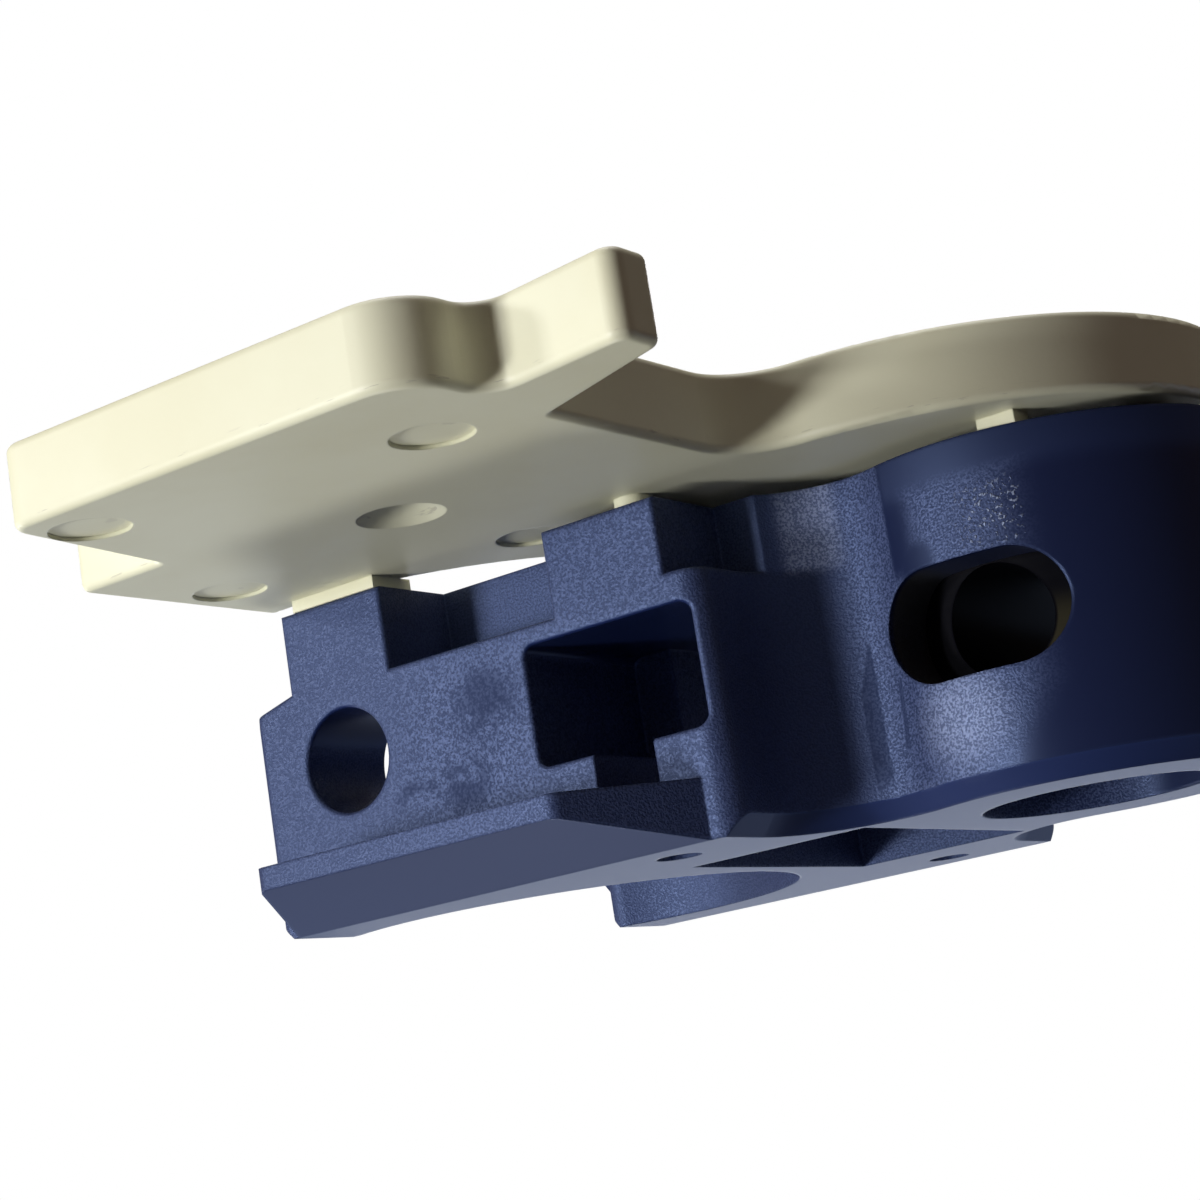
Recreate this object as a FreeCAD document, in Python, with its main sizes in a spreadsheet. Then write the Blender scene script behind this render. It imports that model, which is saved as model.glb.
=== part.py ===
"""One link of a side-flexing case conveyor chain: moulded link body, carrying plate and swivel bush.

The origin is the middle of the fork's pin hole. +X runs along the chain to the barrel, +Y across it and
+Z up to the carrying plate. All sizes are in millimetres.
"""
import FreeCAD, Part
import math
import os
from types import SimpleNamespace

import Sketcher

Vector = FreeCAD.Vector
NEAR = 0.02      # how close an edge has to lie to the place where it is looked for

# Driving dimensions, one sheet cell each
DIMENSIONS = {
    # Whole link
    "pitch": 50.0,
    "body_width": 51.6,
    "body_half_height": 12.7,
    "spill": 1.0,                  # how far a cutting profile reaches past the surface it opens
    # Fork: two ears around a round space for the next barrel
    "pin_hole_radius": 4.1,
    "ear_end": 9.0,
    "ear_top_end": 4.9,
    "ear_step_top": 6.3,
    "ear_step_corner": 5.4,
    "ear_step_reach": 8.5,
    "ear_nose_top": 3.5,
    "ear_corner_radius": 0.85,
    "ear_foot": 1.2,
    "fork_radius": 16.9,
    "fork_mouth_radius": 20.0,
    "fork_mouth_rise": 5.2,
    "fork_mouth_taper": 3.1,
    "ear_inner_radius": 1.55,
    # Side walls, their towers and windows
    "wall_end": 34.5,
    "wall_corner_radius": 2.05,
    "notch_start": 5.4,
    "notch_end": 21.5,
    "notch_floor": 6.1,
    "notch_depth": 8.3,
    "tower_end": 31.7,
    "tower_step": 6.9,
    "window_start": 18.3,
    "window_end": 33.2,
    "window_half_height": 4.6,
    "window_depth": 14.5,
    "window_corner_radius": 0.9,
    "stem_centre": 25.9,
    "stem_width": 5.4,
    "stem_floor": 8.2,
    "drain_radius": 1.7,
    "drain_offset": 20.8,
    # Hollow under the middle
    "hollow_start": 21.9,
    "hollow_end": 37.2,
    "hollow_half_width": 13.0,
    "hollow_ceiling": 4.6,
    # Barrel, its cove and its slot
    "barrel_radius": 15.9,
    "barrel_foot_inset": 1.5,
    "barrel_foot_rise": 1.25,
    "cove_radius": 6.6,
    "bush_seat_radius": 11.2,
    "bush_seat_floor": 10.3,
    "bush_seat_mouth": 8.7,
    "slot_half_length": 7.3,
    "slot_half_height": 4.2,
    # Hold-down tabs
    "tab_reach": 9.7,
    "tab_top": 8.2,
    "tab_lip": 1.75,
    "tab_root_start": 7.3,
    "tab_root_end": 32.1,
    "tab_lip_start": 1.95,
    "tab_lip_end": 25.8,
    "tab_corner_radius": 1.25,
    # Soft edges of the mouldings
    "edge_radius": 0.35,
    # Carrying plate
    "plate_half_width": 62.0,
    "plate_underside": 13.7,
    "plate_thickness": 6.0,
    "plate_edge_radius": 0.6,
    "plate_back": 7.4,
    "step_half_width": 45.0,
    "wing_back_inner": 1.15,
    "wing_back_outer": 3.7,
    "wing_front": 39.5,
    "wing_corner_radius": 4.5,
    "wing_back_radius": 2.05,
    "finger_root_outer": 54.3,
    "finger_root_inner": 46.9,
    "finger_tip": 51.2,
    "finger_tip_outer": 56.0,
    "finger_tip_inner": 51.9,
    "finger_cove_radius": 2.05,
    "finger_tip_radius": 1.25,
    "neck_front": 38.8,
    "neck_cove_radius": 5.2,
    "nose_centre": 41.9,
    "nose_radius": 23.3,
    "recess_centre": 4.5,
    "recess_radius": 23.7,
    "moulding_corner_radius": 0.8,
    # Feet and pegs under the plate
    "fork_foot_start": 3.5,
    "fork_foot_end": 5.0,
    "fork_foot_inner": 21.1,
    "fork_foot_outer": 25.7,
    "barrel_foot_start": 52.9,
    "barrel_foot_end": 55.9,
    "barrel_foot_inner": 12.4,
    "barrel_foot_outer": 14.7,
    "fork_peg_x": 0.7,
    "tower_peg_x": 28.4,
    "peg_offset": 23.1,
    "peg_radius": 1.4,
    "peg_depth": 5.0,
    "peg_gap": 0.02,
    # Ejector marks on the plate's underside
    "front_mark_x": 32.0,
    "front_mark_y": 50.8,
    "wing_mark_x": 6.4,
    "wing_mark_y": 56.8,
    "back_mark_x": -3.0,
    "back_mark_y": 33.3,
    "inner_mark_x": 18.0,
    "inner_mark_y": 21.7,
    "dimple_x": 17.8,
    "dimple_y": 37.2,
    "mark_radius": 2.9,
    "mark_depth": 0.3,
    "dimple_radius": 3.3,
    "dimple_depth": 1.15,
    # Swivel bush
    "bush_radius": 11.15,
    "bush_bottom": 10.1,
    "bush_top": 12.6,
    "bush_hole_radius": 4.15,
    "bush_edge": 0.6,
}

doc = FreeCAD.newDocument("case_conveyor_chain_link")
sheet = doc.addObject("Spreadsheet::Sheet", "Dimensions")
for row, (name, number) in enumerate(DIMENSIONS.items(), start=1):
    sheet.set(f"A{row}", name)
    sheet.set(f"B{row}", str(number))
    sheet.setAlias(f"B{row}", name)
doc.recompute()


class Size:
    """A length with its present value and the sheet expression that drives it."""

    def __init__(self, value, text):
        self.value = value
        self.text = text

    @staticmethod
    def of(other):
        return other if isinstance(other, Size) else Size(float(other), repr(float(other)))

    def __add__(self, other):
        other = Size.of(other)
        return Size(self.value + other.value, f"({self.text} + {other.text})")

    def __sub__(self, other):
        other = Size.of(other)
        return Size(self.value - other.value, f"({self.text} - {other.text})")

    def __mul__(self, other):
        other = Size.of(other)
        return Size(self.value * other.value, f"({self.text} * {other.text})")

    def __truediv__(self, other):
        other = Size.of(other)
        return Size(self.value / other.value, f"({self.text} / {other.text})")

    def __neg__(self):
        return Size(-self.value, f"(-1 * {self.text})")


sizes = {name: Size(number, f"Dimensions.{name}") for name, number in DIMENSIONS.items()}
size = SimpleNamespace(**sizes)
zero = Size(0.0, "0")
half_width = size.body_width / 2
body_top = size.body_half_height
body_bottom = -size.body_half_height
plate_top = size.plate_underside + size.plate_thickness


# Sketch and feature building blocks
def drive(item, prop, length):
    """Ties one property of a document object to the sheet."""
    item.setExpression(prop, length.text)


def new_sketch(body, name, role, offset=zero, shift=zero):
    """An empty sketch on one of the body's own planes, moved along its normal and along its first axis."""
    plane = next(item for item in body.Origin.OriginFeatures if item.Role == role)
    sketch = body.newObject("Sketcher::SketchObject", name)
    sketch.AttachmentSupport = [(plane, "")]
    sketch.MapMode = "FlatFace"
    drive(sketch, "AttachmentOffset.Base.x", shift)
    drive(sketch, "AttachmentOffset.Base.z", offset)
    return sketch


def constrain(sketch, kind, *where, length):
    """Adds one driven dimension to a sketch."""
    index = sketch.addConstraint(Sketcher.Constraint(kind, *where, length.value))
    drive(sketch, f"Constraints[{index}]", length)


def pin_point(sketch, edge, end, x, y):
    """Holds one end (1, 2) or centre (3) of a sketch edge at driven coordinates."""
    constrain(sketch, "DistanceX", -1, 1, edge, end, length=Size.of(x))
    constrain(sketch, "DistanceY", -1, 1, edge, end, length=Size.of(y))


def draw_polygon(sketch, points):
    """A closed polygon through driven points."""
    points = [(Size.of(x), Size.of(y)) for x, y in points]
    first = sketch.GeometryCount
    count = len(points)
    for index, (x, y) in enumerate(points):
        end_x, end_y = points[(index + 1) % count]
        start = Vector(x.value, y.value, 0)
        sketch.addGeometry(Part.LineSegment(start, Vector(end_x.value, end_y.value, 0)), False)
    for index, (x, y) in enumerate(points):
        following = first + (index + 1) % count
        sketch.addConstraint(Sketcher.Constraint("Coincident", first + index, 2, following, 1))
        pin_point(sketch, first + index, 1, x, y)


def draw_rectangle(sketch, left, right, low, high):
    """A rectangle between two driven lines each way."""
    draw_polygon(sketch, [(left, low), (right, low), (right, high), (left, high)])


def draw_circle(sketch, x, y, radius):
    """A circle with a driven centre and radius."""
    x, y = Size.of(x), Size.of(y)
    circle = Part.Circle(Vector(x.value, y.value, 0), Vector(0, 0, 1), radius.value)
    edge = sketch.addGeometry(circle, False)
    pin_point(sketch, edge, 3, x, y)
    constrain(sketch, "Radius", edge, length=radius)


def draw_obround(sketch, half_length, radius):
    """A slot with round ends, lying along the sketch's first axis about its origin."""
    reach = half_length - radius
    up = Vector(0, radius.value, 0)
    along = Vector(reach.value, 0, 0)
    normal = Vector(0, 0, 1)
    right = Part.ArcOfCircle(Part.Circle(along, normal, radius.value), -math.pi / 2, math.pi / 2)
    left = Part.ArcOfCircle(Part.Circle(-along, normal, radius.value), math.pi / 2, 3 * math.pi / 2)
    upper = Part.LineSegment(along + up, up - along)
    lower = Part.LineSegment(-along - up, along - up)
    sketch.addGeometry([right, upper, left, lower], False)
    for edge in range(4):
        sketch.addConstraint(Sketcher.Constraint("Tangent", edge, 2, (edge + 1) % 4, 1))
    pin_point(sketch, 0, 3, reach, zero)
    pin_point(sketch, 2, 3, -reach, zero)
    constrain(sketch, "Radius", 0, length=radius)


def draw_corner_waste(sketch, x, y, radius, reach):
    """What rounding the upright corner at (x, y) takes away, drawn some way out past both faces."""
    x, y = Size.of(x), Size.of(y)
    inner_x, inner_y, outer_x, outer_y = x - radius, y - radius, x + reach, y + reach
    corners = [(x, inner_y), (outer_x, inner_y), (outer_x, outer_y), (inner_x, outer_y), (inner_x, y)]
    spots = [Vector(spot_x.value, spot_y.value, 0) for spot_x, spot_y in corners]
    for start, end in zip(spots, spots[1:]):
        sketch.addGeometry(Part.LineSegment(start, end), False)
    middle = Vector(inner_x.value, inner_y.value, 0)
    circle = Part.Circle(middle, Vector(0, 0, 1), radius.value)
    sketch.addGeometry(Part.ArcOfCircle(circle, 0, math.pi / 2), False)
    for edge in range(3):
        sketch.addConstraint(Sketcher.Constraint("Coincident", edge, 2, edge + 1, 1))
    sketch.addConstraint(Sketcher.Constraint("Coincident", 3, 2, 4, 2))
    sketch.addConstraint(Sketcher.Constraint("Coincident", 4, 1, 0, 1))
    for edge, spot in enumerate(corners[:4]):
        pin_point(sketch, edge, 1, *spot)
    pin_point(sketch, 4, 3, inner_x, inner_y)


def add_feature(body, kind, name, sketch, flipped=False, **lengths):
    """One feature made from a sketch, with its driven lengths, checked to change the body's volume."""
    before = body.Shape.Volume if body.Tip else 0.0
    feature = body.newObject(f"PartDesign::{kind}", name)
    feature.Profile = sketch
    feature.Reversed = flipped
    for prop, length in lengths.items():
        drive(feature, prop, length)
    if kind == "Groove":
        feature.ReferenceAxis = (sketch, ["V_Axis"])
    doc.recompute()
    if abs(body.Shape.Volume - before) < 0.01:
        raise RuntimeError(f"{name} changes nothing")
    return feature


def mirror_across(body, name, features):
    """Repeats features on the other side of the chain's middle plane."""
    plane = next(item for item in body.Origin.OriginFeatures if item.Role == "XZ_Plane")
    mirrored = body.newObject("PartDesign::Mirrored", name)
    mirrored.Originals = features
    mirrored.MirrorPlane = (plane, [""])
    body.Tip = mirrored
    doc.recompute()
    return mirrored


def edges_of(body, test):
    """Names of the body's edges that pass a test."""
    return [f"Edge{number}" for number, edge in enumerate(body.Shape.Edges, start=1) if test(edge)]


def near_line(places, axis):
    """A test for straight edges along one axis (0, 1, 2) that pass through one of the given places."""
    across = [item for item in range(3) if item != axis]

    def test(edge):
        if edge.Curve.TypeId != "Part::GeomLine":
            return False
        ends = [vertex.Point for vertex in edge.Vertexes]
        if any(abs(ends[0][item] - ends[1][item]) > NEAR for item in across):
            return False
        spot = [ends[0][item] for item in across]
        return any(math.dist(spot, place) < NEAR for place in places)

    return test


def on_level(levels):
    """A test for edges that lie at one of the given heights."""
    def test(edge):
        low, high = edge.BoundBox.ZMin, edge.BoundBox.ZMax
        return any(abs(low - level) < NEAR and abs(high - level) < NEAR for level in levels)

    return test


def dress_edges(body, kind, name, test, **lengths):
    """A fillet or chamfer with driven lengths on the edges that pass a test."""
    solid = body.Tip
    names = edges_of(body, test)
    if not names:
        raise RuntimeError(f"{name} finds no edge")
    dressing = body.newObject(f"PartDesign::{kind}", name)
    dressing.Base = (solid, names)
    if len(lengths) == 2:
        dressing.ChamferType = "Two distances"
    for prop, length in lengths.items():
        drive(dressing, prop, length)
    doc.recompute()


def round_edges(body, name, radius, test):
    """A fillet on the edges that pass a test."""
    dress_edges(body, "Fillet", name, test, Radius=radius)


def chord_half(radius, distance):
    """Half the chord of a circle at a distance from its centre, as a plain number."""
    return math.sqrt(radius.value ** 2 - distance.value ** 2)


def both_sides(*places):
    """The given (x, y) places and their mirror images, as plain numbers."""
    pairs = [(Size.of(x).value, Size.of(y).value) for x, y in places]
    return pairs + [(x, -y) for x, y in pairs]


# Link body: fork, side walls and barrel in one moulding
def draw_link_plan(sketch):
    """Plan of the link: a broad block, a cove on each side and the round barrel."""
    barrel, cove = size.barrel_radius.value, size.cove_radius.value
    left, right, half = -size.ear_end.value, size.wall_end.value, half_width.value
    centre_x = right + cove
    centre_y = math.sqrt((barrel + cove) ** 2 - (size.pitch.value - centre_x) ** 2)
    barrel_axis = Vector(size.pitch.value, 0, 0)
    normal = Vector(0, 0, 1)
    lower = Vector(centre_x, -centre_y, 0)
    upper = Vector(centre_x, centre_y, 0)
    to_barrel = math.atan2(centre_y, size.pitch.value - centre_x)
    corners = [Vector(right, centre_y, 0), Vector(right, half, 0), Vector(left, half, 0)]
    corners += [Vector(left, -half, 0), Vector(right, -half, 0), Vector(right, -centre_y, 0)]
    for start, end in zip(corners, corners[1:]):
        sketch.addGeometry(Part.LineSegment(start, end), False)
    sketch.addGeometry(Part.ArcOfCircle(Part.Circle(lower, normal, cove), to_barrel, math.pi), False)
    swing = math.pi - to_barrel
    sketch.addGeometry(Part.ArcOfCircle(Part.Circle(barrel_axis, normal, barrel), -swing, swing), False)
    sketch.addGeometry(Part.ArcOfCircle(Part.Circle(upper, normal, cove), math.pi, -to_barrel), False)
    for edge in range(4):
        sketch.addConstraint(Sketcher.Constraint("Coincident", edge, 2, edge + 1, 1))
    sketch.addConstraint(Sketcher.Constraint("Tangent", 4, 2, 5, 2))
    sketch.addConstraint(Sketcher.Constraint("Tangent", 5, 1, 6, 1))
    sketch.addConstraint(Sketcher.Constraint("Tangent", 6, 2, 7, 2))
    sketch.addConstraint(Sketcher.Constraint("Tangent", 7, 1, 0, 1))
    pin_point(sketch, 1, 1, size.wall_end, half_width)
    pin_point(sketch, 2, 1, -size.ear_end, half_width)
    pin_point(sketch, 3, 1, -size.ear_end, -half_width)
    pin_point(sketch, 4, 1, size.wall_end, -half_width)
    constrain(sketch, "DistanceX", -1, 1, 0, 1, length=size.wall_end)
    constrain(sketch, "DistanceX", -1, 1, 4, 2, length=size.wall_end)
    pin_point(sketch, 6, 3, size.pitch, zero)
    constrain(sketch, "Radius", 6, length=size.barrel_radius)
    constrain(sketch, "Radius", 5, length=size.cove_radius)
    constrain(sketch, "Radius", 7, length=size.cove_radius)


def make_link_body():
    body = doc.addObject("PartDesign::Body", "LinkBody")
    body.Label = "link_body"
    over_top = body_top + size.spill
    under_bottom = body_bottom - size.spill
    beside = half_width + size.spill

    # Full-height block with the barrel
    plan = new_sketch(body, "LinkPlan", "XY_Plane", offset=body_bottom)
    draw_link_plan(plan)
    add_feature(body, "Pad", "LinkBlock", plan, Length=size.body_half_height * 2)

    # Bevel along the lower edge of the wall ends, coves and barrel
    at_bottom = on_level((body_bottom.value,))

    def lower_front_edge(edge):
        return at_bottom(edge) and edge.BoundBox.XMin > size.wall_end.value - NEAR

    bevel = {"Size": size.barrel_foot_inset, "Size2": size.barrel_foot_rise}
    dress_edges(body, "Chamfer", "BarrelFoot", lower_front_edge, **bevel)

    # Bevel under the ears' ends
    ear_foot_edge = near_line([(-size.ear_end.value, body_bottom.value)], 1)
    dress_edges(body, "Chamfer", "EarFoot", ear_foot_edge, Size=size.ear_foot)

    # Corners of the ears
    ear_corners = both_sides((-size.ear_end, half_width))
    round_edges(body, "EarCorners", size.ear_corner_radius, near_line(ear_corners, 2))

    # Round space of the fork, wider at its lower mouth
    fork = new_sketch(body, "ForkProfile", "XZ_Plane")
    mouth_top = body_bottom + size.fork_mouth_rise
    taper_top = mouth_top + size.fork_mouth_taper
    draw_polygon(fork, [
        (zero, under_bottom), (size.fork_mouth_radius, under_bottom), (size.fork_mouth_radius, mouth_top),
        (size.fork_radius, taper_top), (size.fork_radius, over_top), (zero, over_top)])
    add_feature(body, "Groove", "Fork", fork)
    inner_corners = both_sides((-size.ear_end, chord_half(size.fork_mouth_radius, size.ear_end)))
    round_edges(body, "EarInnerCorners", size.ear_inner_radius, near_line(inner_corners, 2))

    # Stepped nose of the ears
    nose = new_sketch(body, "EarNose", "XZ_Plane", offset=beside)
    clear_of_ear = -size.ear_end - size.spill
    draw_polygon(nose, [
        (clear_of_ear, size.ear_nose_top), (-size.ear_end, size.ear_nose_top),
        (-size.ear_step_reach, size.ear_step_corner), (-size.ear_top_end, size.ear_step_top),
        (-size.ear_top_end, over_top), (clear_of_ear, over_top)])
    add_feature(body, "Pocket", "EarStep", nose, Length=beside * 2)

    # Pin hole through both ears
    pin_hole = new_sketch(body, "PinHole", "XZ_Plane", offset=beside)
    draw_circle(pin_hole, zero, zero, size.pin_hole_radius)
    add_feature(body, "Pocket", "PinBore", pin_hole, Length=beside * 2)

    # Rounded front corner of each side wall
    corner = new_sketch(body, "WallCornerOutline", "XY_Plane", offset=over_top)
    draw_corner_waste(corner, size.wall_end, half_width, size.wall_corner_radius, size.spill)
    corner_cut = add_feature(body, "Pocket", "WallCorner", corner, Length=over_top - under_bottom)

    # Open notch between the two towers of each side, and the step behind the second tower
    notch = new_sketch(body, "NotchOutline", "XZ_Plane", offset=half_width)
    draw_rectangle(notch, size.notch_start, size.notch_end, size.notch_floor, over_top)
    notch_cut = add_feature(body, "Pocket", "Notch", notch, Length=size.notch_depth)
    step = new_sketch(body, "StepOutline", "XZ_Plane", offset=half_width)
    draw_rectangle(step, size.tower_end, size.wall_end + size.spill, size.tower_step, over_top)
    step_cut = add_feature(body, "Pocket", "TowerStep", step, Length=size.notch_depth)

    # T-shaped window of each side, reaching into the hollow, and the drain hole below its stem
    window = new_sketch(body, "WindowOutline", "XZ_Plane", offset=half_width)
    sill, stem_half = -size.window_half_height, size.stem_width / 2
    stem_left, stem_right = size.stem_centre - stem_half, size.stem_centre + stem_half
    draw_polygon(window, [
        (size.window_start, sill), (stem_left, sill), (stem_left, -size.stem_floor),
        (stem_right, -size.stem_floor), (stem_right, sill), (size.window_end, sill),
        (size.window_end, size.window_half_height), (size.window_start, size.window_half_height)])
    window_cut = add_feature(body, "Pocket", "Window", window, Length=size.window_depth)
    drain = new_sketch(body, "DrainHole", "XY_Plane", offset=under_bottom)
    draw_circle(drain, size.stem_centre, -size.drain_offset, size.drain_radius)
    drain_depth = size.body_half_height - size.stem_floor + size.spill * 2
    drain_cut = add_feature(body, "Pocket", "Drain", drain, flipped=True, Length=drain_depth)

    # Hold-down tab of each side: level on top, thinner and shorter at its lip than at the wall
    tab_plan = new_sketch(body, "TabPlan", "XY_Plane", offset=body_bottom)
    lip_side = -half_width - size.tab_reach
    draw_polygon(tab_plan, [
        (-size.tab_root_start, -half_width), (size.tab_root_end, -half_width),
        (size.tab_lip_end, lip_side), (-size.tab_lip_start, lip_side)])
    tab = add_feature(body, "Pad", "Tab", tab_plan, Length=size.body_half_height - size.tab_top)
    slope = new_sketch(body, "TabSlope", "YZ_Plane", offset=size.tab_root_end + size.spill)
    lip_bottom, past_lip = -size.tab_top - size.tab_lip, lip_side - size.spill
    draw_polygon(slope, [
        (-half_width, body_bottom), (-half_width, under_bottom), (past_lip, under_bottom),
        (past_lip, lip_bottom), (lip_side, lip_bottom)])
    tab_length = size.tab_root_start + size.tab_root_end + size.spill * 2
    slope_cut = add_feature(body, "Pocket", "TabUnderside", slope, Length=tab_length)
    side_features = [corner_cut, notch_cut, step_cut, window_cut, drain_cut, tab, slope_cut]
    mirror_across(body, "OtherSide", side_features)

    # Rounded corners of the windows and of the tabs' lips
    sides, levels = (size.window_start, size.window_end), (sill, size.window_half_height)
    window_corners = [(x.value, z.value) for x in sides for z in levels]
    round_edges(body, "WindowCorners", size.window_corner_radius, near_line(window_corners, 1))
    lip_corners = both_sides(
        (-size.tab_lip_start, half_width + size.tab_reach), (size.tab_lip_end, half_width + size.tab_reach))
    round_edges(body, "TabCorners", size.tab_corner_radius, near_line(lip_corners, 2))

    # Hollow under the middle, open downwards
    hollow = new_sketch(body, "HollowOutline", "XY_Plane", offset=body_bottom)
    hollow_side = size.hollow_half_width
    draw_rectangle(hollow, size.hollow_start, size.hollow_end, -hollow_side, hollow_side)
    hollow_rise = size.body_half_height + size.hollow_ceiling
    add_feature(body, "Pocket", "Hollow", hollow, flipped=True, Length=hollow_rise)

    # Upright seat for the bush, with a ledge that carries it
    seat = new_sketch(body, "SeatProfile", "XZ_Plane", shift=size.pitch)
    ledge = -size.bush_seat_floor
    draw_polygon(seat, [
        (zero, under_bottom), (size.bush_seat_mouth, under_bottom), (size.bush_seat_mouth, ledge),
        (size.bush_seat_radius, ledge), (size.bush_seat_radius, over_top), (zero, over_top)])
    add_feature(body, "Groove", "BushSeat", seat)

    # Slot through both sides of the barrel, for the swing of the next link's pin
    slot = new_sketch(body, "SlotOutline", "XZ_Plane", offset=beside, shift=size.pitch)
    draw_obround(slot, size.slot_half_length, size.slot_half_height)
    add_feature(body, "Pocket", "Slot", slot, Length=beside * 2)

    # Blind holes that take the plate's pegs
    peg_holes = new_sketch(body, "PegHoles", "XY_Plane", offset=body_top)
    for x in (size.fork_peg_x, size.tower_peg_x):
        for side in (1, -1):
            draw_circle(peg_holes, x, size.peg_offset * side, size.peg_radius + size.peg_gap)
    add_feature(body, "Pocket", "PegSockets", peg_holes, Length=size.peg_depth + size.peg_gap * 10)

    # Soft edges around the openings and the upper outline of each side
    def upper_side_edge(edge):
        box = edge.BoundBox
        on_side = box.YLength < NEAR and abs(abs(box.YMin) - half_width.value) < NEAR
        return on_side and box.ZMin > NEAR - size.tab_top.value

    round_edges(body, "SideEdges", size.edge_radius, upper_side_edge)
    return body


# Carrying plate: flat moulding with wings, fingers, a round nose and a matching recess
def make_top_plate():
    body = doc.addObject("PartDesign::Body", "TopPlate")
    body.Label = "top_plate"
    underside = size.plate_underside

    # Wings, fingers and neck in plan
    plan = new_sketch(body, "PlatePlan", "XY_Plane", offset=underside)
    near_side = [
        (-size.plate_back, -size.step_half_width), (size.wing_back_inner, -size.step_half_width),
        (size.wing_back_outer, -size.plate_half_width), (size.wing_front, -size.plate_half_width),
        (size.wing_front, -size.finger_root_outer), (size.finger_tip, -size.finger_tip_outer),
        (size.finger_tip, -size.finger_tip_inner), (size.neck_front, -size.finger_root_inner)]
    draw_polygon(plan, near_side + [(x, -y) for x, y in reversed(near_side)])
    add_feature(body, "Pad", "PlateSlab", plan, Length=size.plate_thickness)

    # Round nose at the front and the recess for the neighbour's nose at the back
    nose = new_sketch(body, "NoseCircle", "XY_Plane", offset=underside)
    draw_circle(nose, size.nose_centre, zero, size.nose_radius)
    add_feature(body, "Pad", "Nose", nose, Length=size.plate_thickness)
    recess = new_sketch(body, "RecessCircle", "XY_Plane", offset=plate_top)
    draw_circle(recess, -size.recess_centre, zero, size.recess_radius)
    add_feature(body, "Pocket", "Recess", recess, Length=size.plate_thickness)

    # Corners in plan
    wing_corner = both_sides((size.wing_front, size.plate_half_width))
    round_edges(body, "WingCorners", size.wing_corner_radius, near_line(wing_corner, 2))
    finger_cove = both_sides((size.wing_front, size.finger_root_outer))
    round_edges(body, "FingerCoves", size.finger_cove_radius, near_line(finger_cove, 2))
    tips = both_sides((size.finger_tip, size.finger_tip_outer), (size.finger_tip, size.finger_tip_inner))
    round_edges(body, "FingerTips", size.finger_tip_radius, near_line(tips, 2))
    wing_back = both_sides((size.wing_back_outer, size.plate_half_width))
    round_edges(body, "WingBacks", size.wing_back_radius, near_line(wing_back, 2))
    nose_edge = chord_half(size.nose_radius, size.neck_front - size.nose_centre)
    neck = both_sides((size.neck_front, nose_edge))
    round_edges(body, "NeckCoves", size.neck_cove_radius, near_line(neck, 2))
    recess_edge = chord_half(size.recess_radius, size.plate_back - size.recess_centre)
    small = both_sides(
        (-size.plate_back, size.step_half_width), (size.wing_back_inner, size.step_half_width),
        (size.neck_front, size.finger_root_inner), (-size.plate_back, recess_edge))
    round_edges(body, "SmallCorners", size.moulding_corner_radius, near_line(small, 2))

    # Rounded rim, above and below
    rim = on_level((underside.value, plate_top.value))
    round_edges(body, "Rim", size.plate_edge_radius, rim)

    # Feet that stand on the ears and on the barrel, and pegs pressed into the ears and towers
    foot_height = underside - body_top
    feet = new_sketch(body, "FeetOutline", "XY_Plane", offset=body_top)
    for side in (1, -1):
        fork_foot = (size.fork_foot_inner * side, size.fork_foot_outer * side)
        draw_rectangle(feet, -size.fork_foot_start, size.fork_foot_end, *fork_foot)
        barrel_foot = (size.barrel_foot_inner * side, size.barrel_foot_outer * side)
        draw_rectangle(feet, size.barrel_foot_start, size.barrel_foot_end, *barrel_foot)
    add_feature(body, "Pad", "Feet", feet, Length=foot_height)
    pegs = new_sketch(body, "PegOutline", "XY_Plane", offset=body_top - size.peg_depth)
    for x in (size.fork_peg_x, size.tower_peg_x):
        for side in (1, -1):
            draw_circle(pegs, x, size.peg_offset * side, size.peg_radius)
    add_feature(body, "Pad", "Pegs", pegs, Length=foot_height + size.peg_depth)

    # Shallow round ejector marks and one deeper dimple on each side of the underside
    marks = new_sketch(body, "MarkCircles", "XY_Plane", offset=underside)
    mark_places = [
        (size.front_mark_x, size.front_mark_y), (size.wing_mark_x, size.wing_mark_y),
        (size.back_mark_x, size.back_mark_y), (size.inner_mark_x, size.inner_mark_y)]
    for x, y in mark_places:
        for side in (1, -1):
            draw_circle(marks, x, y * side, size.mark_radius)
    add_feature(body, "Pocket", "EjectorMarks", marks, flipped=True, Length=size.mark_depth)
    ball = (size.dimple_radius * size.dimple_radius / size.dimple_depth + size.dimple_depth) / 2
    plane = next(item for item in body.Origin.OriginFeatures if item.Role == "XY_Plane")
    for name, side in (("DimpleLeft", 1), ("DimpleRight", -1)):
        dimple = body.newObject("PartDesign::SubtractiveSphere", name)
        dimple.AttachmentSupport = [(plane, "")]
        dimple.MapMode = "FlatFace"
        drive(dimple, "Radius", ball)
        drive(dimple, "AttachmentOffset.Base.x", size.dimple_x)
        drive(dimple, "AttachmentOffset.Base.y", size.dimple_y * side)
        drive(dimple, "AttachmentOffset.Base.z", underside + size.dimple_depth - ball)
        doc.recompute()
    return body


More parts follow.
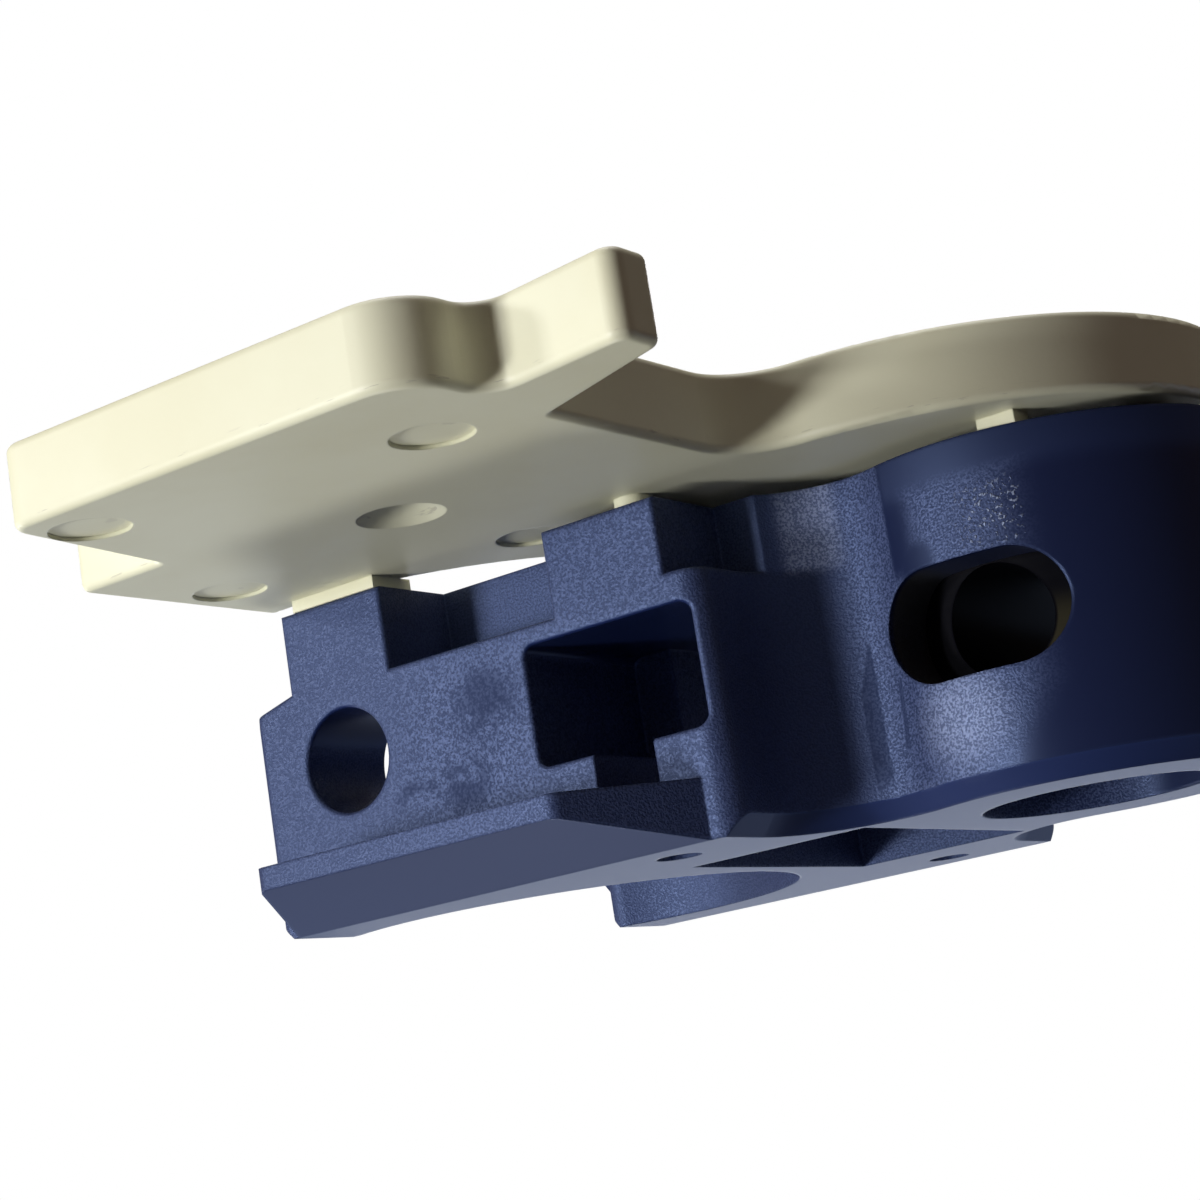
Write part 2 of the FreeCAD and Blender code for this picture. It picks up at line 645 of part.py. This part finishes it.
# Swivel bush: round block that turns in the barrel and carries the next link's pin
def make_swivel_bush():
    body = doc.addObject("PartDesign::Body", "SwivelBush")
    body.Label = "swivel_bush"
    plan = new_sketch(body, "BushPlan", "XY_Plane", offset=-size.bush_bottom)
    draw_circle(plan, size.pitch, zero, size.bush_radius)
    add_feature(body, "Pad", "BushBlock", plan, Length=size.bush_bottom + size.bush_top)
    ends = on_level((-size.bush_bottom.value, size.bush_top.value))
    dress_edges(body, "Chamfer", "BushEdges", ends, Size=size.bush_edge)
    cross = new_sketch(body, "CrossHole", "XZ_Plane", offset=half_width, shift=size.pitch)
    draw_circle(cross, zero, zero, size.bush_hole_radius)
    add_feature(body, "Pocket", "CrossBore", cross, Length=size.body_width)
    return body


sub_parts = [make_link_body(), make_top_plate(), make_swivel_bush()]
doc.recompute()

failed = [item.Label for item in doc.Objects if "Invalid" in item.State or "Error" in item.State]
if failed:
    raise RuntimeError(f"failed features: {failed}")
os.makedirs("parts", exist_ok=True)
for sub_part in sub_parts:
    shape = sub_part.Shape
    if shape.isNull() or not shape.isValid() or len(shape.Solids) != 1:
        raise RuntimeError(f"{sub_part.Label} is not one valid solid")
    shape.exportStep(f"parts/{sub_part.Label}.step")
    box = shape.optimalBoundingBox(False)
    spans = f"{box.XLength:.1f} x {box.YLength:.1f} x {box.ZLength:.1f} mm"
    print(f"{sub_part.Label}: {shape.Volume / 1000:.2f} cm3, {spans}")
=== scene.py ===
"""One link of a side-flexing case conveyor chain, dressed and lit for a picture from below its barrel end."""
import math

import bpy
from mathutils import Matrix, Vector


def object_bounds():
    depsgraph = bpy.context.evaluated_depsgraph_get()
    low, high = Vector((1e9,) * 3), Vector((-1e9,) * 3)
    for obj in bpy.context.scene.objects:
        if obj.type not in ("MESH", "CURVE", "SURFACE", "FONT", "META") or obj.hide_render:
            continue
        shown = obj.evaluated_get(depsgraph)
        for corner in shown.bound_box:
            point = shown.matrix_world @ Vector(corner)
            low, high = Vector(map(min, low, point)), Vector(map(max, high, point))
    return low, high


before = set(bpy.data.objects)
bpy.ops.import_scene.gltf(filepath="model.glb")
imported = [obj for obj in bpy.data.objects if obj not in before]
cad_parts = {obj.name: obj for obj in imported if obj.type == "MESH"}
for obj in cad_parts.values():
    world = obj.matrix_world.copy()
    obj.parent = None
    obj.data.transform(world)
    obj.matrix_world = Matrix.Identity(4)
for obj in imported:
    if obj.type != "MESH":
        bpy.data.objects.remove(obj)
cad_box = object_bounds()


# Carrying plate: one injection moulding in ivory acetal, smooth and faintly waxy, that stands on four small
# feet and is held by four pegs pressed into the link body. Its lower rim has the fine scuffs that a plate
# gets from the side guides, and its underside has the ejector marks of the mould.
def add_node(tree, kind, inputs=None, **settings):
    """A shader node with its settings, whose inputs are given values or joined to other nodes' outputs."""
    made = tree.nodes.new(f"ShaderNode{kind}")
    for name, value in settings.items():
        setattr(made, name, value)
    for name, value in (inputs or {}).items():
        if isinstance(value, bpy.types.NodeSocket):
            tree.links.new(value, made.inputs[name])
        else:
            made.inputs[name].default_value = value
    return made


def new_finish(name, **sockets):
    """A material with one shader, its constant sockets set, and the piece's own coordinates."""
    material = bpy.data.materials.new(name)
    material.use_nodes = True
    tree = material.node_tree
    shader = tree.nodes["Principled BSDF"]
    for socket, value in sockets.items():
        shader.inputs[socket.replace("_", " ")].default_value = value
    coordinates = tree.nodes.new("ShaderNodeTexCoord").outputs["Object"]
    return material, tree, shader, coordinates


def ramp(tree, value, low, high, bottom=0.0, top=1.0):
    """A value carried smoothly from bottom to top while its input goes from low to high."""
    limits = {"Value": value, "From Min": low, "From Max": high, "To Min": bottom, "To Max": top}
    return add_node(tree, "MapRange", limits, interpolation_type="SMOOTHSTEP").outputs["Result"]


def combine(tree, operation, first, second):
    """One sum, product or other result of two values."""
    return add_node(tree, "Math", {0: first, 1: second}, operation=operation).outputs["Value"]


def both(tree, *shares):
    """The product of several shares."""
    product = shares[0]
    for share in shares[1:]:
        product = combine(tree, "MULTIPLY", product, share)
    return product


def band(tree, value, start, full, fading, end):
    """1 from full to fading, 0 before start and after end."""
    return both(tree, ramp(tree, value, start, full), ramp(tree, value, fading, end, 1.0, 0.0))


def noise(tree, coordinates, scale, detail=2.0, stretch=(1, 1, 1)):
    """Cloudy values from 0 to 1, with about scale clouds to a metre, made finer along an axis by stretch."""
    place = add_node(tree, "Mapping", {"Vector": coordinates, "Scale": stretch}).outputs["Vector"]
    clouds = add_node(tree, "TexNoise", {"Vector": place, "Scale": scale, "Detail": detail})
    return clouds.outputs["Fac"]


def blend_colours(tree, share, first, second):
    """The first colour where share is 0 and the second where it is 1."""
    mix = add_node(tree, "Mix", data_type="RGBA")
    for socket, value in (("Factor_Float", share), ("A_Color", first), ("B_Color", second)):
        target = next(item for item in mix.inputs if item.identifier == socket)
        if isinstance(value, bpy.types.NodeSocket):
            tree.links.new(value, target)
        else:
            target.default_value = value
    return next(item for item in mix.outputs if item.identifier == "Result_Color")


plate_ivory, tree, shader, coordinates = new_finish("plate_ivory", Roughness=0.42, IOR=1.48)
ivory, yellowed, rim_scuff = (0.86, 0.85, 0.64, 1), (0.82, 0.80, 0.58, 1), (0.45, 0.42, 0.32, 1)
slab_thickness, edge_radius = 0.006, 0.0002
wax_scale, wax_strength, wax_depth = 2400, 0.10, 0.00006
cloud_scale, scuff_scale = 90, 420
yellow_clouds, scuff_lines, scuff_strength = (0.35, 0.75), (0.62, 0.70), 0.5
plate_underside = cad_box[1][2] - slab_thickness
scuffed_rim = [plate_underside + rise for rise in (0.0002, 0.0004, 0.0004, 0.0012)]
height = add_node(tree, "SeparateXYZ", {"Vector": coordinates}).outputs["Z"]
clouds = ramp(tree, noise(tree, coordinates, cloud_scale, detail=3), *yellow_clouds)
colour = blend_colours(tree, clouds, ivory, yellowed)
lines = ramp(tree, noise(tree, coordinates, scuff_scale, detail=3, stretch=(1, 1, 9)), *scuff_lines)
scuffs = both(tree, band(tree, height, *scuffed_rim), lines, scuff_strength)
tree.links.new(blend_colours(tree, scuffs, colour, rim_scuff), shader.inputs["Base Color"])
soft_edge = add_node(tree, "Bevel", {"Radius": edge_radius}, samples=4).outputs["Normal"]
waxy = add_node(tree, "Bump", {
    "Height": noise(tree, coordinates, wax_scale), "Normal": soft_edge,
    "Strength": wax_strength, "Distance": wax_depth})
tree.links.new(waxy.outputs["Normal"], shader.inputs["Normal"])
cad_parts["top_plate"].material_slots[0].material = plate_ivory


# Link body: one injection moulding in deep-blue acetal. The mould's eroded grain makes its sides glitter;
# the barrel's front and top, a strip beside its cove and the faces turned down are smooth and look darker.
# The near wall is rubbed beside the pin hole, and the cove has dark, dull marks.
def either(tree, *shares):
    """The largest of several shares."""
    largest = shares[0]
    for share in shares[1:]:
        largest = combine(tree, "MAXIMUM", largest, share)
    return largest


def spot(tree, flat_place, centre, inner, outer):
    """1 within the inner radius of a round mark on a side, 0 outside its outer radius."""
    middle = (centre[0], 0, centre[1])
    reach = add_node(tree, "VectorMath", {0: flat_place, 1: middle}, operation="DISTANCE").outputs["Value"]
    return ramp(tree, reach, inner, outer, 1.0, 0.0)


link_blue, tree, shader, coordinates = new_finish(
    "link_blue", IOR=1.5, Specular_IOR_Level=0.75, Specular_Tint=(0.42, 0.57, 1.0, 1))
deep_blue, pale_blue = (0.009, 0.014, 0.050, 1), (0.080, 0.105, 0.225, 1)
# Painted light: faces turned down get a paler blue, which stands for the light they catch from below.
painted_underside_light, slot_grey = (0.012, 0.022, 0.090, 1), (0.075, 0.078, 0.085, 1)
# The next two colours are painted light: a highlight blue, and the pale blue of glints.
painted_highlight_blue, painted_glint_blue = (0.20, 0.235, 0.37, 1), (0.34, 0.40, 0.58, 1)
near_side_edge, near_wall_edge = (-0.008, -0.006), (-0.0256, -0.0248)
along, across, height = add_node(tree, "SeparateXYZ", {"Vector": coordinates}).outputs
flat_place = add_node(tree, "CombineXYZ", {"X": along, "Z": height}).outputs["Vector"]
normal = tree.nodes.new("ShaderNodeTexCoord").outputs["Normal"]
facing_front, _, facing_up = add_node(tree, "SeparateXYZ", {"Vector": normal}).outputs
near_side = ramp(tree, across, *near_side_edge, 1.0, 0.0)
near_wall = ramp(tree, across, *near_wall_edge, 1.0, 0.0)

# Smooth zones: the barrel's front, whose edge runs back towards the foot, the barrel's top, the strip beside
# the cove, a round spot at the slot's shoulder and the faces turned down
slot_foot, front_lean, front_edge = -0.0058, 0.72, (0.0515, 0.0570)
top_back_edge, top_lower_edge = (0.0443, 0.0449), (0.0088, 0.0108)
strip_along, strip_foot = (0.0441, 0.0446, 0.0455, 0.0480), (0.0030, 0.0050)
shoulder_middle, shoulder_size = (0.0466, 0.0046), (0.0010, 0.0026)
downward = (-0.60, -0.35)
below_slot = combine(tree, "MAXIMUM", combine(tree, "SUBTRACT", slot_foot, height), 0.0)
leaning = combine(tree, "ADD", along, both(tree, below_slot, front_lean))
barrel_front = ramp(tree, leaning, *front_edge)
barrel_top = both(tree, ramp(tree, along, *top_back_edge), ramp(tree, height, *top_lower_edge))
beside_cove = both(tree, band(tree, along, *strip_along), ramp(tree, height, *strip_foot))
shoulder = spot(tree, flat_place, shoulder_middle, *shoulder_size)
turned_down = ramp(tree, facing_up, *downward, 1.0, 0.0)
smooth = either(tree, barrel_front, barrel_top, beside_cove, shoulder, turned_down)
grained = combine(tree, "SUBTRACT", 1.0, smooth)

# Dark, dull marks in the near cove: a tongue that widens downwards and a thin stroke beside it
tongue_lean, tongue_edge = 0.32, (0.0405, 0.0408)
tongue_along, tongue_height = (0.0394, 0.0397, 0.0408, 0.0411), (-0.0112, -0.0092, 0.0000, 0.0006)
stroke_lean, stroke_along = 0.05, (0.0428, 0.0430, 0.0432, 0.0434)
stroke_height = (-0.0088, -0.0075, -0.0035, -0.0024)
leaning = combine(tree, "SUBTRACT", along, both(tree, height, tongue_lean))
tongue = both(tree, near_side, band(tree, along, *tongue_along), ramp(tree, leaning, *tongue_edge),
              band(tree, height, *tongue_height))
leaning = combine(tree, "SUBTRACT", along, both(tree, height, stroke_lean))
stroke = both(tree, near_side, band(tree, leaning, *stroke_along), band(tree, height, *stroke_height))

# A pale grey on the slot's inner walls, fading towards its right end, and two places with a painted highlight
# that follows the grain: the upper part of the near cove, where its wall turns to the front, and a smoother
# round place below the slot
barrel_axis, slot_wall_radius = (0.050, 0, 0), (0.0105, 0.0109, 0.0152, 0.0156)
slot_wall_height, slot_grey_fades = (-0.0046, -0.0043, 0.0043, 0.0046), (0.0450, 0.0480, 1.0, 0.3)
cove_light_along, cove_light_turn = (0.0358, 0.0368, 0.0396, 0.0412), (0.02, 0.30, 0.75, 0.90)
cove_light_foot = (0.0058, 0.0072)
highlight_spot_middle, highlight_spot_size = (0.0482, -0.0070), (0.0010, 0.0050)
level_place = add_node(tree, "CombineXYZ", {"X": along, "Y": across}).outputs["Vector"]
from_axis = add_node(tree, "VectorMath", {0: level_place, 1: barrel_axis}, operation="DISTANCE")
in_slot = both(tree, band(tree, from_axis.outputs["Value"], *slot_wall_radius),
               band(tree, height, *slot_wall_height), ramp(tree, along, *slot_grey_fades))
painted_cove_light = both(tree, near_side, band(tree, along, *cove_light_along), band(tree, facing_front, *cove_light_turn),
                   ramp(tree, height, *cove_light_foot))
# A round place below the slot, smoother than the grain around it and painted with the highlight blue.
painted_highlight_smooth_spot = both(tree, near_side, spot(tree, flat_place, highlight_spot_middle, *highlight_spot_size))

# Rubbed marks on the near wall: two dark clouds, the faint rim of a round print and fine curved scratches
upper_cloud, upper_size = (0.0142, 0.0012), (0.0012, 0.0046)
lower_cloud, lower_size = (0.0114, -0.0042), (0.0010, 0.0034)
print_middle, print_radii, print_softness = (0.0066, -0.0058), (0.0032, 0.0023), 0.0008
print_foot, cloud_scale, cloud_gaps = (-0.0056, -0.0042), 420, (0.30, 0.52)
worn_middle, worn_size = (0.0120, -0.0010), (0.0030, 0.0090)
scratch_middle, scratch_scale = (0.0066, -0.0075), 420
patchy = ramp(tree, noise(tree, coordinates, cloud_scale, detail=3), *cloud_gaps)
clouds = either(tree, spot(tree, flat_place, upper_cloud, *upper_size),
                spot(tree, flat_place, lower_cloud, *lower_size))
outer_print, inner_print = (
    spot(tree, flat_place, print_middle, radius - print_softness, radius) for radius in print_radii)
print_rim = both(tree, combine(tree, "SUBTRACT", outer_print, inner_print), ramp(tree, height, *print_foot))
dark_marks = either(tree, both(tree, near_wall, patchy, either(tree, clouds, print_rim)), tongue, stroke)
worn = both(tree, near_wall, spot(tree, flat_place, worn_middle, *worn_size))
from_middle = add_node(tree, "Mapping", {
    "Vector": flat_place, "Location": (-scratch_middle[0], 0, -scratch_middle[1])}).outputs["Vector"]
scratches = add_node(tree, "TexWave", {
    "Vector": from_middle, "Scale": scratch_scale, "Distortion": 5, "Detail": 3, "Detail Scale": 0.8},
    wave_type="RINGS", rings_direction="Y").outputs["Fac"]

# Grain: small soft spots of chance lightness, calm towards the fork and at the back of the cove, livelier on
# the worn place and towards the barrel, with painted glints: bright flecks in a patch above the slot, raised
# as relief too
speckle_scale, speckle_limits, fleck_scale, fleck_limits = 5600, (0.34, 0.66), 3400, (0.58, 0.70)
patch_along, patch_height = (0.0495, 0.0525, 0.0546, 0.0556), (0.0042, 0.0050, 0.0080, 0.0095)
fork_to_window, lively_from = (0.004, 0.020), (0.0390, 0.0415)
calm_along, calm_contrast, lively_contrast = (0.0335, 0.0350, 0.0385, 0.0405), 0.3, 0.45
plain_contrast, plain_lightness = (0.25, 0.52), (0.27, 0.36)
scratch_contrast, dark_mark_lightness = 0.16, 0.15
speckle = ramp(tree, noise(tree, coordinates, speckle_scale, detail=5), *speckle_limits)
flecks = ramp(tree, noise(tree, coordinates, fleck_scale, detail=1), *fleck_limits)
glint_flecks = both(tree, near_side, band(tree, along, *patch_along), band(tree, height, *patch_height), flecks)
livelier = either(tree, worn, ramp(tree, along, *lively_from))
calm = band(tree, along, *calm_along)
contrast = both(tree, ramp(tree, along, *fork_to_window, *plain_contrast),
                ramp(tree, calm, 0.0, 1.0, 1.0, calm_contrast))
contrast = combine(tree, "ADD", contrast, both(tree, livelier, lively_contrast))
lightness = ramp(tree, along, *fork_to_window, *plain_lightness)
for pattern, strength in ((speckle, contrast), (scratches, both(tree, worn, scratch_contrast))):
    lift = both(tree, combine(tree, "SUBTRACT", pattern, 0.5), strength)
    lightness = combine(tree, "ADD", lightness, lift)
lightness = both(tree, lightness, grained, ramp(tree, dark_marks, 0.0, 1.0, 1.0, dark_mark_lightness))

# Colour, roughness and relief from these zones
smooth_roughness, dull_roughness, shine_roughness = 0.32, 0.22, -0.10
grain_roughness, highlight_speckle = (0.20, 0.90, 0.22, 0.06), (0.1, 1.0, 0.25, 1.0)
edge_radius, grain_depth, patch_depth = 0.00035, 0.00003, 0.00015
grain_strength, dark_mark_strength, patch_strength = 0.6, 0.2, 0.8
painted_highlights = both(tree, either(tree, painted_highlight_smooth_spot, painted_cove_light), ramp(tree, speckle, *highlight_speckle))
colour = blend_colours(tree, lightness, deep_blue, pale_blue)
for share, finish in (
        (turned_down, painted_underside_light), (painted_highlights, painted_highlight_blue), (in_slot, slot_grey), (glint_flecks, painted_glint_blue)):
    colour = blend_colours(tree, share, colour, finish)
tree.links.new(colour, shader.inputs["Base Color"])
roughness = both(tree, grained, ramp(tree, speckle, *grain_roughness))
dulled = both(tree, either(tree, dark_marks, barrel_top), dull_roughness)
for change in (smooth_roughness, dulled, both(tree, painted_highlight_smooth_spot, shine_roughness)):
    roughness = combine(tree, "ADD", roughness, change)
tree.links.new(roughness, shader.inputs["Roughness"])
soft_edge = add_node(tree, "Bevel", {"Radius": edge_radius}, samples=4).outputs["Normal"]
strength = both(tree, grained, ramp(tree, dark_marks, 0.0, 1.0, grain_strength, dark_mark_strength))
relief = soft_edge
for pattern, share, depth in ((speckle, strength, grain_depth), (glint_flecks, patch_strength, patch_depth)):
    relief = add_node(tree, "Bump", {
        "Height": pattern, "Normal": relief, "Strength": share, "Distance": depth}).outputs["Normal"]
tree.links.new(relief, shader.inputs["Normal"])
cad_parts["link_body"].material_slots[0].material = link_blue


# Swivel bush: a turned block of dark grey plastic, smooth where it runs in the barrel. It drops into the
# barrel from above, before the plate goes on. Its cross hole carries the next link's pin and is painted
# near-black as shade, and a painted pool of light in olive lies on its face at the lower right.
bush_grey, tree, shader, coordinates = new_finish(
    "bush_grey", Roughness=0.5, IOR=1.48, Specular_IOR_Level=0.04)
charcoal, dark_grey, painted_light_olive = (0.003, 0.003, 0.005, 1), (0.006, 0.006, 0.008, 1), (0.036, 0.032, 0.020, 1)
hole_middle, hole_edge = (0.050, 0.0), (0.0042, 0.0044)
lit_patch_from, lit_patch_below = (0.0510, 0.0535), (-0.0010, 0.0015)
turning_scale, turning_strength, turning_depth = 500, 0.15, 0.00005
worn_dark = (0.3, 0.7, 0.0, 0.3)
along, _, height = add_node(tree, "SeparateXYZ", {"Vector": coordinates}).outputs
flat_place = add_node(tree, "CombineXYZ", {"X": along, "Z": height}).outputs["Vector"]
hole_shade = spot(tree, flat_place, hole_middle, *hole_edge)
# Painted light: an olive pool of light on the lower right of the face.
painted_lit_patch = both(tree, ramp(tree, along, *lit_patch_from), ramp(tree, height, *lit_patch_below, 1.0, 0.0))
turning_marks = noise(tree, coordinates, turning_scale, detail=2, stretch=(0.15, 0.15, 4))
colour = blend_colours(tree, ramp(tree, turning_marks, *worn_dark), dark_grey, charcoal)
colour = blend_colours(tree, painted_lit_patch, colour, painted_light_olive)
tree.links.new(blend_colours(tree, hole_shade, colour, charcoal), shader.inputs["Base Color"])
turned = add_node(tree, "Bump", {
    "Height": turning_marks, "Strength": turning_strength, "Distance": turning_depth})
tree.links.new(turned.outputs["Normal"], shader.inputs["Normal"])
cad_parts["swivel_bush"].material_slots[0].material = bush_grey


# Floor: a plain white sheet well below the link, which is held up and looked at from below. It takes the
# link's shadow, and far out it fades into the white of the background.
floor_level, floor_reach = -0.30, 6.0
corners = [(x * floor_reach, y * floor_reach, floor_level) for x, y in ((-1, -1), (1, -1), (1, 1), (-1, 1))]
floor_mesh = bpy.data.meshes.new("floor")
floor_mesh.from_pydata(corners, [], [(0, 1, 2, 3)])
floor = bpy.data.objects.new("floor", floor_mesh)
bpy.context.scene.collection.objects.link(floor)
floor_white, tree, shader, coordinates = new_finish("floor_white", Roughness=0.9)
unseen_grey, sheet_white, plain_white = (0.12, 0.12, 0.12, 1), (0.86, 0.86, 0.86, 1), (1, 1, 1, 1)
mirrored_blue, mirrored_strength, fade_reach = (0.60, 0.72, 1.0, 1), 0.62, (0.36, 0.80)
rays = add_node(tree, "LightPath").outputs
mirrored = rays["Is Glossy Ray"]
seen = combine(tree, "MAXIMUM", rays["Is Camera Ray"], rays["Is Transmission Ray"])
tree.links.new(blend_colours(tree, seen, unseen_grey, sheet_white), shader.inputs["Base Color"])
distance = add_node(tree, "VectorMath", {0: coordinates}, operation="LENGTH").outputs["Value"]
faded = both(tree, ramp(tree, distance, *fade_reach), combine(tree, "MAXIMUM", seen, mirrored))
glow = add_node(tree, "Emission", {
    "Color": blend_colours(tree, seen, mirrored_blue, plain_white),
    "Strength": combine(tree, "MAXIMUM", seen, both(tree, mirrored, mirrored_strength))}).outputs["Emission"]
sheet = add_node(tree, "MixShader", {0: faded, 1: shader.outputs["BSDF"], 2: glow}).outputs["Shader"]
tree.links.new(sheet, tree.nodes["Material Output"].inputs["Surface"])
floor_mesh.materials.append(floor_white)


# Background and ambient light: white where it is seen directly or through something clear, and otherwise a
# dim warm room, which only fills the shadows.
world = bpy.data.worlds.new("studio")
bpy.context.scene.world = world
world.use_nodes = True
tree = world.node_tree
dim_room = (0.062, 0.038, 0.030, 1)
rays = add_node(tree, "LightPath").outputs
seen = combine(tree, "MAXIMUM", rays["Is Camera Ray"], rays["Is Transmission Ray"])
tree.links.new(blend_colours(tree, seen, dim_room, plain_white), tree.nodes["Background"].inputs["Color"])


# Lamps: three small ones on the left, below the link, level with it and above it, which light the sides under
# the plate; two weak ones from the left and from below for the undersides; and two wide ones for the top and
# the back.
def add_lamp(name, place, side, power):
    """A square lamp at a place, facing the link."""
    aim = (0.025, -0.015, 0.005)
    lamp = bpy.data.lights.new(name, "AREA")
    lamp.shape = "SQUARE"
    lamp.size = side
    lamp.energy = power
    holder = bpy.data.objects.new(name, lamp)
    bpy.context.scene.collection.objects.link(holder)
    towards = [target - start for start, target in zip(place, aim)]
    level_reach = math.hypot(towards[0], towards[1])
    tilt, turn = math.atan2(level_reach, -towards[2]), math.atan2(towards[1], towards[0]) - math.pi / 2
    holder.location = place
    holder.rotation_euler = (tilt, 0, turn)


add_lamp("key", (-0.240, -0.536, -0.130), 0.10, 2.05)
add_lamp("level", (-0.225, -0.668, 0.032), 0.055, 1.45)
add_lamp("high", (-0.461, -0.485, 0.186), 0.08, 0.75)
add_lamp("left", (-0.350, -0.050, -0.120), 0.12, 0.24)
add_lamp("below", (-0.109, 0.063, -0.286), 0.06, 0.23)
add_lamp("top", (0.0, 0.1, 0.7), 0.5, 3.0)
add_lamp("back", (-0.3, 0.6, 0.15), 0.4, 3.0)


# Camera: below the link's base and off its barrel end, looking up at the carrying plate. Its lens, place and
# turn were fitted to straight edges of the photograph.
camera_data = bpy.data.cameras.new("camera")
camera_data.lens = 79.486
camera_data.sensor_width = 36.0
camera_data.clip_start, camera_data.clip_end = 0.01, 50.0
camera = bpy.data.objects.new("camera", camera_data)
bpy.context.scene.collection.objects.link(camera)
camera.location = (0.132417, -0.182589, -0.033554)
camera.rotation_euler = [math.radians(angle) for angle in (102.0323, 8.8949, 36.0637)]
bpy.context.scene.camera = camera
bpy.context.scene.view_settings.view_transform = "Standard"
